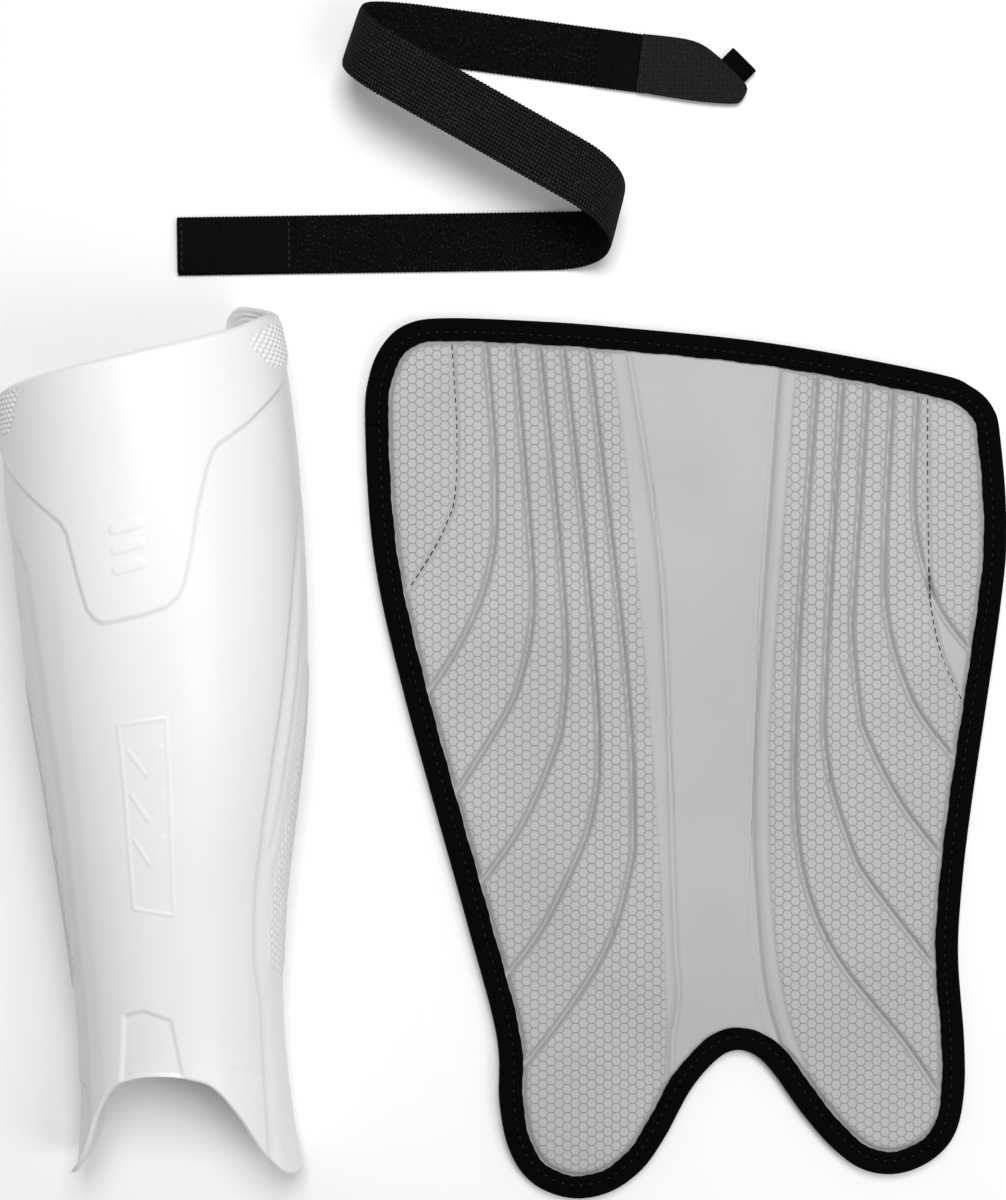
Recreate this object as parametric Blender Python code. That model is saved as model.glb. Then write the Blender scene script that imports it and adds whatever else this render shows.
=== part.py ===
"""Field hockey shin guard for one leg, laid out flat in its three loose parts.

The hard shell rests on the edges of its wings with its front up, the foam liner lies
with its leg side up, and the elastic strap lies beyond them in an open Z.
+X is to the right, +Y towards the knee end, +Z up. Lengths below are in millimetres.
"""
from math import acos, cos, pi, radians, sin

import bmesh
import bpy
from mathutils import Vector

MM = 0.001
GAP = 0.3  # clearance between neighbouring pieces

# Shell: an open tube whose axis drops towards the ankle.
SHELL_WALL = 2.6
AXIS_HEIGHT_TOP = (90.0, 37.8)  # y, height of the tube's axis above the floor
AXIS_HEIGHT_TOE = (-190.0, 16.5)
SHELL_RADII = [(-196, 39.6), (-178, 36.6), (-148, 34.7), (-126, 35.1), (-100, 37.2), (-66, 41.5),
               (-36, 45.2), (-6, 47.1), (22, 47.5), (50, 47.0), (76, 45.6), (100, 43.2)]
SHELL_AXIS_X = [(-196, -110.6), (-148, -112.7), (-100, -114.6), (-50, -114.9), (13, -117.4),
                (66, -120.4), (100, -123.6)]
# Rims, as the share of the half wrap (-1 left edge, +1 right edge) and y.
TOP_RIM = [(-1.0, 57.0), (-0.72, 63.5), (-0.48, 65.6), (-0.23, 68.6), (0.03, 74.1), (0.32, 83.0),
           (0.5, 90.0), (0.72, 95.6), (0.88, 99.4), (1.0, 100.5)]
TOE_RIM = [(-1.0, -189.0), (-0.76, -190.5), (-0.58, -186.5), (-0.46, -178.5), (-0.35, -165.0),
           (-0.24, -155.4), (-0.12, -151.2), (0.0, -150.3), (0.11, -151.4), (0.22, -155.0),
           (0.34, -165.8), (0.46, -179.0), (0.6, -188.0), (0.78, -190.5), (1.0, -189.0)]
SHELL_CORNER = 13.0  # rounding of the wings' corners
SHELL_FOOT = 0.5  # height at which the wings' edges end
HALF_GIRTH = 105.0  # from the crown to a wing's edge along the wall
SHELL_ORIGIN_Y = -50.0
SHELL_ACROSS = 52
SHELL_ALONG = 24
EDGE_CROWDING = 0.18  # how far the columns crowd towards the wings' edges

HOOK_PAD = 1.2  # thickness of the hook pads on the shell's inner wall
UPPER_PADS = (0.36, 0.52, 10.0, 52.0)  # share of the half wrap from and to, y from and to
LOWER_PADS = (0.34, 0.50, -130.0, -96.0)
HOOK_PAD_ACROSS = 6
HOOK_PAD_ALONG = 8

# Liner: outer edge of its binding, clockwise from the left side.
LINER_OUTLINE = [
    (-52.5, 60), (-51, 77), (-46, 88), (-38, 94.5), (-25, 96.5), (5, 95.5), (33, 93.5), (86, 88),
    (141, 78), (155, 73), (162.5, 65.5), (165, 54.5), (167, 25.5), (165, -1.5), (155, -70),
    (151.5, -100.5), (150.5, -122.5), (152.5, -150), (152.5, -168), (149.5, -182), (142, -191),
    (130.5, -196), (118.5, -195), (108, -188), (97, -175.5), (87, -161.5), (80.5, -155.5),
    (74, -154), (67.5, -157.5), (59, -167.5), (50, -184), (42, -195), (31, -202.5), (18, -204.5),
    (5, -199.5), (-3, -188.5), (-6.5, -172), (-7.5, -149), (-18, -109), (-39.5, -31), (-49.5, 15.5)]
OUTLINE_STEPS = 3  # edges between two outline points
FOAM_BACK = 1.25
EDGE_TOP = 5.45  # foam under the binding
CHANNEL_TOP = 5.9  # foam along the shin bone
PILLOW_TOP = 8.2  # padded foam on both wings
TAPE = 0.9  # binding tape thickness
TAPE_LIP = 8.2  # how far the binding reaches in over the foam
TAPE_TOP = 6.65
TAPE_ROUND = 1.6  # how far in from its edge the folded tape lies flat
FOAM_CHAMFER = 1.4  # the foam's edge is cut back inside the tape's fold
PILLOW_STEP = 2.5  # distance over which the foam rises past the tape's lip

# Fold lines of the liner, as x at y = +100 and x at y = -210.
FOLDS = {"left_outer": (2.2, 24.9), "left_inner": (33.5, 54.0), "right_inner": (94.4, 83.6),
         "right_outer": (123.5, 123.5)}
FOLD_ENDS_Y = (100.0, -210.0)
CUTTER_LEFT, CUTTER_RIGHT = -120.0, 240.0  # the panel cutters reach well past the liner
CUTTER_HEIGHTS = (-5.0, 20.0)

PATCH_BOTTOM = 0.25
PATCH_TOP = 0.95
LEFT_CORNER_PATCH = [(-42, 72), (-36.5, 82), (-26.5, 85.5), (-22.5, 85.5), (-21.5, 60), (-21.5, 36.5),
                     (-24.5, 26.5), (-30, 16), (-37, 5), (-40, 19), (-42.5, 43)]
RIGHT_CORNER_PATCH = [(140, 67.5), (147.5, 64.5), (152.5, 61), (155, 56), (156.5, 34), (156.5, 13.5),
                      (154, -13.5), (151, -33), (147.5, -26.5), (143.5, -14), (141, 3.5), (140, 36)]
LEFT_SHIN_PAD = (37.0, -96.0, 18.0, 44.0)  # centre x, centre y, width, length
RIGHT_SHIN_PAD = (104.5, -96.0, 18.0, 44.0)

# Strap: 20 mm elastic, its centre line and its two open folds.
STRAP_WIDTH = 20.0
STRAP_THICK = 1.6
LOOP_RADIUS = 17.0
NEAR_END = (-117.0, 121.6)
RIGHT_FOLD_START = (14.1, 123.5)
RIGHT_FOLD_END = (18.3, 139.8)
LEFT_FOLD_START = (-42.3, 173.9)
LEFT_FOLD_END = (-35.3, 194.9)
FAR_END = (44.6, 184.2)
END_PATCH_LENGTH = 40.0
END_PATCH_MARGIN = 0.6
PATCH_THICK = 0.9
LOOP_STEPS = 8  # stations on each half of an open fold
RUN_STEPS = 6  # stations on a straight run
TAB_OUTLINE = [(42.8, 194.2), (60, 191.8), (69.3, 185.9), (77.8, 177.2), (78.3, 174), (76.5, 171.2),
               (73, 170.2), (59, 171.4), (40.4, 174.4)]
TAB_THICK = 1.3
LOOP_STRIP_OUTLINE = [(28.2, 196.1), (42.1, 194.2), (39.8, 174.6), (25.9, 176.5)]
LOOP_STRIP_THICK = 0.5
PULL_LOOP_BASE = ((70.0, 185.7), (77.9, 177.8))
PULL_LOOP_REACH = 5.4
PULL_LOOP_THICK = 1.1

WHITE_SHELL = ((0.86, 0.86, 0.86), 0.34)
GREY_FOAM = ((0.46, 0.46, 0.46), 0.6)
BLACK_TAPE = ((0.012, 0.012, 0.012), 0.85)
BLACK_LOOP = ((0.016, 0.016, 0.017), 0.95)
BLACK_HOOK = ((0.03, 0.03, 0.032), 0.7)
BLACK_ELASTIC = ((0.01, 0.01, 0.01), 0.8)


def clear_scene():
    for thing in list(bpy.data.objects):
        bpy.data.objects.remove(thing, do_unlink=True)


def material(name, look):
    made = bpy.data.materials.get(name) or bpy.data.materials.new(name)
    made.use_nodes = True
    shader = made.node_tree.nodes["Principled BSDF"]
    shader.inputs["Base Color"].default_value = (*look[0], 1.0)
    shader.inputs["Roughness"].default_value = look[1]
    shader.inputs["Metallic"].default_value = 0.0
    return made


def empty(name, place, parent=None):
    made = bpy.data.objects.new(name, None)
    made.location = Vector(place) * MM - (parent.location if parent else Vector())
    made.parent = parent
    bpy.context.collection.objects.link(made)
    return made


def piece(name, mesh_maker, look, holder=None):
    """A named object whose mesh is built in world millimetres and hangs on its holder's axis."""
    origin = holder.matrix_world.translation.copy() if holder else Vector()
    bm = bmesh.new()
    mesh_maker(bm)
    bmesh.ops.recalc_face_normals(bm, faces=bm.faces)
    if bm.calc_volume(signed=True) < 0:
        bmesh.ops.reverse_faces(bm, faces=bm.faces)
    for vert in bm.verts:
        vert.co = vert.co * MM - origin
    mesh = bpy.data.meshes.new(name)
    bm.to_mesh(mesh)
    bm.free()
    mesh.shade_smooth()
    mesh.set_sharp_from_angle(angle=radians(35))
    mesh.materials.append(material(name, look))
    made = bpy.data.objects.new(name, mesh)
    made.parent = holder
    bpy.context.collection.objects.link(made)
    return made


def smooth_value(points, at):
    """The value at `at` on a smooth curve through (position, value) points."""
    last = len(points) - 1
    if at <= points[0][0]:
        return points[0][1]
    if at >= points[last][0]:
        return points[last][1]
    i = max(k for k in range(last) if points[k][0] <= at)

    def slope(k):
        low, high = max(k - 1, 0), min(k + 1, last)
        return (points[high][1] - points[low][1]) / (points[high][0] - points[low][0])

    (x0, v0), (x1, v1) = points[i], points[i + 1]
    span = x1 - x0
    t = (at - x0) / span
    return ((1 + 2 * t) * (1 - t) ** 2 * v0 + t * (1 - t) ** 2 * span * slope(i)
            + t * t * (3 - 2 * t) * v1 + t * t * (t - 1) * span * slope(i + 1))


def ring_skin(bm, rings, closed):
    """Joins rings of points into a tube; an open tube gets flat ends."""
    made = [[bm.verts.new(point) for point in ring] for ring in rings]
    count = len(made[0])
    pairs = zip(made, made[1:] + made[:1]) if closed else zip(made, made[1:])
    for first, second in pairs:
        for k in range(count):
            n = (k + 1) % count
            bm.faces.new((first[k], first[n], second[n], second[k]))
    if not closed:
        bm.faces.new(made[0])
        bm.faces.new(reversed(made[-1]))


# ---------------------------------------------------------------- shell

def axis_height(y):
    (y0, z0), (y1, z1) = AXIS_HEIGHT_TOE, AXIS_HEIGHT_TOP
    return z0 + (z1 - z0) * (y - y0) / (y1 - y0)


def shell_point(share, y, inside=0.0):
    """Point on the shell's outer face, or `inside` mm under it; the wings' edges meet the floor."""
    radius = smooth_value(SHELL_RADII, y)
    height = axis_height(y)
    half_wrap = acos(-(height - SHELL_FOOT) / radius)
    angle = share * half_wrap
    reach = radius - inside
    return Vector((smooth_value(SHELL_AXIS_X, y) + reach * sin(angle), y, height + reach * cos(angle)))


def corner_drop(share):
    """How far a rounded corner takes the rim back near a wing's edge."""
    near_edge = (1 - abs(share)) * HALF_GIRTH
    if near_edge >= SHELL_CORNER:
        return 0.0
    return SHELL_CORNER - (SHELL_CORNER ** 2 - (SHELL_CORNER - near_edge) ** 2) ** 0.5


def shell_share(k):
    """Columns crowd towards the wings' edges, where the corners are rounded."""
    t = 2 * k / SHELL_ACROSS - 1
    return (1 - EDGE_CROWDING) * t + EDGE_CROWDING * sin(t * pi / 2)


def shell_mesh(bm):
    outer, inner = [], []
    for k in range(SHELL_ACROSS + 1):
        share = shell_share(k)
        top = smooth_value(TOP_RIM, share) - corner_drop(share)
        toe = smooth_value(TOE_RIM, share) + corner_drop(share)
        heights = [toe + (top - toe) * row / SHELL_ALONG for row in range(SHELL_ALONG + 1)]
        outer.append([bm.verts.new(shell_point(share, y)) for y in heights])
        inner.append([bm.verts.new(shell_point(share, y, SHELL_WALL)) for y in heights])
    for k in range(SHELL_ACROSS):
        for row in range(SHELL_ALONG):
            for wall in (outer, inner):
                bm.faces.new((wall[k][row], wall[k + 1][row], wall[k + 1][row + 1], wall[k][row + 1]))
        for row in (0, SHELL_ALONG):
            bm.faces.new((outer[k][row], outer[k + 1][row], inner[k + 1][row], inner[k][row]))
    for k in (0, SHELL_ACROSS):
        for row in range(SHELL_ALONG):
            bm.faces.new((outer[k][row], outer[k][row + 1], inner[k][row + 1], inner[k][row]))


def hook_pad_maker(side, place):
    share_from, share_to, y_from, y_to = place

    def make(bm):
        rings = []
        for row in range(HOOK_PAD_ALONG + 1):
            y = y_from + (y_to - y_from) * row / HOOK_PAD_ALONG
            steps = [k / HOOK_PAD_ACROSS for k in range(HOOK_PAD_ACROSS + 1)]
            shares = [side * (share_from + (share_to - share_from) * step) for step in steps]
            near = [shell_point(s, y, SHELL_WALL + GAP) for s in shares]
            far = [shell_point(s, y, SHELL_WALL + GAP + HOOK_PAD) for s in reversed(shares)]
            rings.append(near + far)
        ring_skin(bm, rings, closed=False)
    return make


# ---------------------------------------------------------------- liner

def closed_curve(points, steps):
    """Points along a smooth closed curve through the given ones."""
    count = len(points)
    found = []
    for i in range(count):
        p0, p1, p2, p3 = (Vector(points[(i + k - 1) % count]) for k in range(4))
        for step in range(steps):
            t = step / steps
            found.append(0.5 * (2 * p1 + (p2 - p0) * t + (2 * p0 - 5 * p1 + 4 * p2 - p3) * t * t
                                + (3 * p1 - p0 - 3 * p2 + p3) * t ** 3))
    return found


def inset(curve, distance):
    """The clockwise closed curve moved inwards along its normals."""
    count = len(curve)
    moved = []
    for i in range(count):
        along = (curve[(i + 1) % count] - curve[i - 1]).normalized()
        moved.append(curve[i] + Vector((along.y, -along.x)) * distance)
    return moved


def liner_rings(section):
    edge = closed_curve(LINER_OUTLINE, OUTLINE_STEPS)
    offsets = [(inset(edge, depth), z) for depth, z in section]
    return [[(*curve[i], z) for curve, z in offsets] for i in range(len(edge))]


def foam_maker(top):
    """The whole foam sheet: thin under the binding, then stepping up to `top`."""
    blunt = TAPE + 0.4
    cut_back = blunt + FOAM_CHAMFER
    section = [(cut_back, FOAM_BACK), (blunt, FOAM_BACK + 1.15), (blunt, EDGE_TOP - 1.2),
               (cut_back, EDGE_TOP), (TAPE_LIP + 0.5, EDGE_TOP), (TAPE_LIP + 0.5 + PILLOW_STEP, top)]

    def make(bm):
        rings = list(zip(*liner_rings(section)))
        ring_skin(bm, rings, closed=False)
    return make


def binding_mesh(bm):
    """A tape folded over the foam's edge: a U-shaped section swept round the outline."""
    middle = TAPE_TOP / 2
    bulge = [(TAPE_ROUND, 0), (0.35, 1.1), (0, middle), (0.35, TAPE_TOP - 1.1), (TAPE_ROUND, TAPE_TOP)]
    hollow = [(TAPE_ROUND + 0.5, TAPE_TOP - TAPE), (TAPE, middle + 1.2), (TAPE, middle - 1.2),
              (TAPE_ROUND + 0.5, TAPE)]
    section = ([(TAPE_LIP, 0)] + bulge + [(TAPE_LIP, TAPE_TOP), (TAPE_LIP, TAPE_TOP - TAPE)]
               + hollow + [(TAPE_LIP, TAPE)])
    ring_skin(bm, liner_rings(section), closed=True)


def fold_x(fold, y):
    (x_top, x_low), (y_top, y_low) = FOLDS[fold], FOLD_ENDS_Y
    return x_top + (x_low - x_top) * (y_top - y) / (y_top - y_low)


def strip_maker(left_fold, right_fold, y_low, y_high):
    """A tall block between two fold lines, to take one panel out of the liner."""
    def side(fold, y, outside, sign):
        return fold_x(fold, y) + sign * GAP / 2 if fold else outside

    def make(bm):
        left_low, left_high = (side(left_fold, y, CUTTER_LEFT, 1) for y in (y_low, y_high))
        right_low, right_high = (side(right_fold, y, CUTTER_RIGHT, -1) for y in (y_low, y_high))
        corners = [(left_low, y_low), (right_low, y_low), (right_high, y_high), (left_high, y_high)]
        ring_skin(bm, [[(*corner, z) for corner in corners] for z in CUTTER_HEIGHTS], closed=False)
    return make


def cut_to(target, cutter):
    cutter.hide_render = True
    cutter.display_type = "WIRE"
    cut = target.modifiers.new("panel", "BOOLEAN")
    cut.operation = "INTERSECT"
    cut.solver = "EXACT"
    cut.object = cutter


def plate_maker(outline, bottom, top):
    def make(bm):
        ring_skin(bm, [[(x, y, z) for x, y in outline] for z in (bottom, top)], closed=False)
    return make


def box_outline(place):
    x, y, width, length = place
    return [(x - width / 2, y - length / 2), (x + width / 2, y - length / 2),
            (x + width / 2, y + length / 2), (x - width / 2, y + length / 2)]


# Panel name: the fold line on its left, the one on its right, foam height.
PANELS = {
    "left_outer": (None, "left_outer", PILLOW_TOP),
    "left_inner": ("left_outer", "left_inner", PILLOW_TOP),
    "centre": ("left_inner", "right_inner", CHANNEL_TOP),
    "right_inner": ("right_inner", "right_outer", PILLOW_TOP),
    "right_outer": ("right_outer", None, PILLOW_TOP)}
WHOLE = (-260.0, 160.0)
UPPER_HALF = (-40.0, 160.0)
LOWER_HALF = (-260.0, -40.0)
BINDING_PIECES = {
    "binding_left_side": ("left_outer", WHOLE), "binding_left_top": ("left_inner", UPPER_HALF),
    "binding_left_foot": ("left_inner", LOWER_HALF), "binding_centre_top": ("centre", UPPER_HALF),
    "binding_notch": ("centre", LOWER_HALF), "binding_right_top": ("right_inner", UPPER_HALF),
    "binding_right_foot": ("right_inner", LOWER_HALF), "binding_right_side": ("right_outer", WHOLE)}


def build_liner(holders):
    for panel, (left, right, top) in PANELS.items():
        foam = piece("foam_" + panel, foam_maker(top), GREY_FOAM, holders[panel])
        cut_to(foam, piece("cut_foam_" + panel, strip_maker(left, right, *WHOLE), GREY_FOAM))
    for name, (panel, span) in BINDING_PIECES.items():
        left, right, _ = PANELS[panel]
        tape = piece(name, binding_mesh, BLACK_TAPE, holders[panel])
        cut_to(tape, piece("cut_" + name, strip_maker(left, right, *span), BLACK_TAPE))
    patches = {"left_corner_loop_patch": (LEFT_CORNER_PATCH, "left_outer"),
               "right_corner_loop_patch": (RIGHT_CORNER_PATCH, "right_outer"),
               "left_shin_loop_pad": (box_outline(LEFT_SHIN_PAD), "left_inner"),
               "right_shin_loop_pad": (box_outline(RIGHT_SHIN_PAD), "right_inner")}
    for name, (outline, panel) in patches.items():
        piece(name, plate_maker(outline, PATCH_BOTTOM, PATCH_TOP), BLACK_LOOP, holders[panel])


# ---------------------------------------------------------------- strap

def heading(start, end):
    return (Vector(end) - Vector(start)).normalized()


def fold_frame(start_heading, end_heading, outward_sign):
    """The crease direction of a fold between two headings, and the outward direction across it."""
    crease = (start_heading - end_heading).normalized()
    crease = Vector((-crease.y, crease.x))
    if crease.y < 0:
        crease = -crease
    outward = Vector((crease.y, -crease.x)) * outward_sign
    return crease, outward


def across_of(run_heading):
    """The direction across a run, towards the knee end."""
    across = Vector((-run_heading.y, run_heading.x))
    return across if across.y > 0 else -across


def loop_stations(start, end, crease, outward, run_heading, turn_from, turn_to, count, rising):
    """Centre points and half widths round part of an open half-turn fold.

    The lines across the webbing stay parallel to the crease, so it bends without stretching.
    """
    half = crease * (STRAP_WIDTH / 2 / crease.dot(across_of(run_heading)))
    found = []
    for k in range(count + 1):
        turn = turn_from + (turn_to - turn_from) * k / count
        centre = Vector(start).lerp(Vector(end), turn / pi) + outward * (LOOP_RADIUS * sin(turn))
        lift = LOOP_RADIUS * (1 - cos(turn)) if rising else LOOP_RADIUS * (1 + cos(turn))
        found.append((Vector((*centre, STRAP_THICK / 2 + lift)), Vector((*half, 0))))
    return found


def flat_stations(start, end, height, count):
    half = across_of(heading(start, end)) * (STRAP_WIDTH / 2)
    points = [Vector(start).lerp(Vector(end), k / count) for k in range(count + 1)]
    return [(Vector((*point, height)), Vector((*half, 0))) for point in points]


def ribbon_maker(stations):
    """A webbing of constant thickness through (centre, half width) stations."""
    def make(bm):
        rings = []
        last = len(stations) - 1
        for k, (centre, half) in enumerate(stations):
            before, after = stations[max(k - 1, 0)][0], stations[min(k + 1, last)][0]
            up = (after - before).cross(half).normalized() * (STRAP_THICK / 2)
            rings.append([centre - half - up, centre + half - up, centre + half + up, centre - half + up])
        ring_skin(bm, rings, closed=False)
    return make


NEAR_HEADING = heading(NEAR_END, RIGHT_FOLD_START)
MIDDLE_HEADING = heading(RIGHT_FOLD_END, LEFT_FOLD_START)
FAR_HEADING = heading(LEFT_FOLD_END, FAR_END)
RIGHT_CREASE, RIGHT_OUTWARD = fold_frame(NEAR_HEADING, MIDDLE_HEADING, 1)
LEFT_CREASE, LEFT_OUTWARD = fold_frame(MIDDLE_HEADING, FAR_HEADING, -1)
QUARTER_GAP = 0.5 * GAP / LOOP_RADIUS


def build_strap(holders):
    top = STRAP_THICK / 2 + 2 * LOOP_RADIUS
    right = (RIGHT_FOLD_START, RIGHT_FOLD_END, RIGHT_CREASE, RIGHT_OUTWARD, NEAR_HEADING)
    left = (LEFT_FOLD_START, LEFT_FOLD_END, LEFT_CREASE, LEFT_OUTWARD, MIDDLE_HEADING)
    near = (flat_stations(NEAR_END, RIGHT_FOLD_START, STRAP_THICK / 2, LOOP_STEPS)[:-1]
            + loop_stations(*right, 0, pi / 2 - QUARTER_GAP, LOOP_STEPS, True))
    middle = (loop_stations(*right, pi / 2 + QUARTER_GAP, pi, LOOP_STEPS, True)
              + flat_stations(RIGHT_FOLD_END, LEFT_FOLD_START, top, RUN_STEPS)[1:-1]
              + loop_stations(*left, 0, pi / 2 - QUARTER_GAP, LOOP_STEPS, False))
    far = (loop_stations(*left, pi / 2 + QUARTER_GAP, pi, LOOP_STEPS, False)
           + flat_stations(LEFT_FOLD_END, FAR_END, STRAP_THICK / 2, RUN_STEPS)[1:])
    piece("strap_near_run", ribbon_maker(near), BLACK_ELASTIC, holders["near"])
    piece("strap_middle_run", ribbon_maker(middle), BLACK_ELASTIC, holders["middle"])
    piece("strap_far_run", ribbon_maker(far), BLACK_ELASTIC, holders["far"])

    above = STRAP_THICK + GAP
    end = Vector(NEAR_END)
    patch_end = end + NEAR_HEADING * END_PATCH_LENGTH
    side = across_of(NEAR_HEADING) * (STRAP_WIDTH / 2 - END_PATCH_MARGIN)
    patch = [end - side, patch_end - side, patch_end + side, end + side]
    piece("strap_end_patch", plate_maker(patch, above, above + PATCH_THICK), BLACK_LOOP, holders["near"])
    piece("strap_loop_strip", plate_maker(LOOP_STRIP_OUTLINE, above, above + LOOP_STRIP_THICK),
          BLACK_LOOP, holders["far"])
    piece("hook_tab", plate_maker(TAB_OUTLINE, above, above + TAB_THICK), BLACK_HOOK, holders["tab"])
    piece("pull_loop", pull_loop_mesh, BLACK_TAPE, holders["pull"])


def pull_loop_mesh(bm):
    """A short tape folded back on itself at the tab's slanted end."""
    first, second = (Vector(point) for point in PULL_LOOP_BASE)
    outward = Vector((second.y - first.y, first.x - second.x)).normalized() * -1
    start = outward * GAP
    reach = outward * (PULL_LOOP_REACH + GAP)
    low = STRAP_THICK + GAP
    plate_maker([first + start, second + start, second + reach, first + reach], low,
                low + PULL_LOOP_THICK)(bm)


def build_shell(holder):
    piece("shell", shell_mesh, WHITE_SHELL, holder)
    for side, label in ((-1, "left"), (1, "right")):
        for level, place in (("upper", UPPER_PADS), ("lower", LOWER_PADS)):
            piece(f"hook_pad_{level}_{label}", hook_pad_maker(side, place), BLACK_HOOK, holder)


def fold_axis(fold):
    return (fold_x(fold, 0.0), 0.0, PILLOW_TOP)


def main():
    clear_scene()
    centre = empty("axis_centre", (0, 0, 0))
    left_inner = empty("axis_left_inner", fold_axis("left_inner"))
    right_inner = empty("axis_right_inner", fold_axis("right_inner"))
    right_fold = Vector(RIGHT_FOLD_START).lerp(Vector(RIGHT_FOLD_END), 0.5)
    right_fold += RIGHT_OUTWARD * (LOOP_RADIUS + STRAP_THICK / 2)
    left_fold = Vector(LEFT_FOLD_START).lerp(Vector(LEFT_FOLD_END), 0.5)
    left_fold += LEFT_OUTWARD * (LOOP_RADIUS - STRAP_THICK / 2)
    fold_height = LOOP_RADIUS + STRAP_THICK / 2
    liner = {"centre": centre, "left_inner": left_inner, "right_inner": right_inner,
             "left_outer": empty("axis_left_outer", fold_axis("left_outer")),
             "right_outer": empty("axis_right_outer", fold_axis("right_outer"))}
    strap = {"near": empty("axis_strap", (*NEAR_END, 0)),
             "middle": empty("axis_right_fold", (*right_fold, fold_height)),
             "far": empty("axis_left_fold", (*left_fold, fold_height)),
             "tab": empty("axis_tab", (*TAB_OUTLINE[0], STRAP_THICK + GAP + TAB_THICK)),
             "pull": empty("axis_pull", (*PULL_LOOP_BASE[0], STRAP_THICK + GAP + PULL_LOOP_THICK))}
    shell = empty("axis_shell", (smooth_value(SHELL_AXIS_X, SHELL_ORIGIN_Y), SHELL_ORIGIN_Y, 0))
    bpy.context.view_layer.update()
    build_shell(shell)
    build_liner(liner)
    build_strap(strap)


main()
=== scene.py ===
"""Looks of a field hockey shin guard in its three loose parts: a white moulded shell, a grey foam
liner with moulded cells and a black elastic strap. Lengths are in millimetres until a mesh is made."""

from math import pi, radians

import bpy
import numpy as np
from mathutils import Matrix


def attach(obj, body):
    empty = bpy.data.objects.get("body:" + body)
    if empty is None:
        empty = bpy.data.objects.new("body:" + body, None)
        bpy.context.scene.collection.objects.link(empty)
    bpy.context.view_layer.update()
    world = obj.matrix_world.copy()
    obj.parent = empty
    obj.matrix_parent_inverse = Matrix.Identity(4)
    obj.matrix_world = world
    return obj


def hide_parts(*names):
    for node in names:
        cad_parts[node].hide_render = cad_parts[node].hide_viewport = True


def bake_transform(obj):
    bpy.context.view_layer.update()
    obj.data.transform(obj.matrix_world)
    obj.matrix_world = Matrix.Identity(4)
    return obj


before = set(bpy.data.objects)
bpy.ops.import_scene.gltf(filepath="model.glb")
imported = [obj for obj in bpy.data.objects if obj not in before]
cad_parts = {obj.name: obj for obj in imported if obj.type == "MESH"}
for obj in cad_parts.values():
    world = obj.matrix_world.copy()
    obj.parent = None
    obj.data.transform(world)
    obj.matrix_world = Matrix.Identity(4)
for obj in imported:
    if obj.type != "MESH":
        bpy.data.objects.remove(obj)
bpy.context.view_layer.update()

MM = 0.001
CAMERA_PLACE = (-5.2, 0.0, 620.0)
CAMERA_LENS = 54.0


def add_camera():
    data = bpy.data.cameras.new("camera")
    data.sensor_fit, data.sensor_height, data.lens = "VERTICAL", 36.0, CAMERA_LENS
    camera = bpy.data.objects.new("camera", data)
    camera.location = [v * MM for v in CAMERA_PLACE]
    bpy.context.scene.collection.objects.link(camera)
    bpy.context.scene.camera = camera


def add_softbox(name, place, turn, size, power):
    """An area light in a square frame of that size, looking down before it is turned."""
    data = bpy.data.lights.new(name, "AREA")
    data.shape, data.size, data.energy = "SQUARE", size * MM, power
    light = bpy.data.objects.new(name, data)
    light.location = [v * MM for v in place]
    light.rotation_euler = [radians(v) for v in turn]
    light.visible_camera = False
    bpy.context.scene.collection.objects.link(light)


def add_studio():
    scene = bpy.context.scene
    scene.view_settings.view_transform = "Standard"
    scene.world = bpy.data.worlds.new("studio")
    scene.world.use_nodes = True
    sky = scene.world.node_tree.nodes["Background"]
    sky.inputs["Color"].default_value = (1.0, 1.0, 1.0, 1.0)
    sky.inputs["Strength"].default_value = 0.30
    add_softbox("key", (40, 300, 900), (-18.4, 2.5, 0), 400, 6.4)
    add_softbox("fill", (480, -250, 800), (17.5, 30, 0), 400, 2.4)


# ---------------------------------------------------------------- meshes

def mesh_object(name, points, face_groups, materials, fields=None, crease=60):
    """An object from points in mm and groups of faces; each group takes the material of its rank."""
    mesh = bpy.data.meshes.new(name)
    sizes = np.concatenate([np.full(len(group), group.shape[1]) for group in face_groups])
    corners = np.concatenate([group.ravel() for group in face_groups])
    mesh.vertices.add(len(points))
    mesh.vertices.foreach_set("co", (points * MM).astype(np.float32).ravel())
    mesh.loops.add(len(corners))
    mesh.loops.foreach_set("vertex_index", corners.astype(np.int32))
    mesh.polygons.add(len(sizes))
    mesh.polygons.foreach_set("loop_start", (np.cumsum(sizes) - sizes).astype(np.int32))
    ranks = [min(rank, len(materials) - 1) for rank in range(len(face_groups))]
    chosen = np.concatenate([np.full(len(g), rank) for g, rank in zip(face_groups, ranks)])
    for material in materials:
        mesh.materials.append(material)
    mesh.polygons.foreach_set("material_index", chosen.astype(np.int32))
    mesh.update(calc_edges=True)
    mesh.validate()
    for field, values in {"rest": points, **(fields or {})}.items():
        kind = "FLOAT_VECTOR" if values.ndim == 2 else "FLOAT"
        stored = mesh.attributes.new(field, kind, "POINT")
        stored.data.foreach_set("vector" if values.ndim == 2 else "value", values.astype(np.float32).ravel())
    mesh.shade_smooth()
    mesh.set_sharp_from_angle(angle=radians(crease))
    made = bpy.data.objects.new(name, mesh)
    bpy.context.scene.collection.objects.link(made)
    return made


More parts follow.
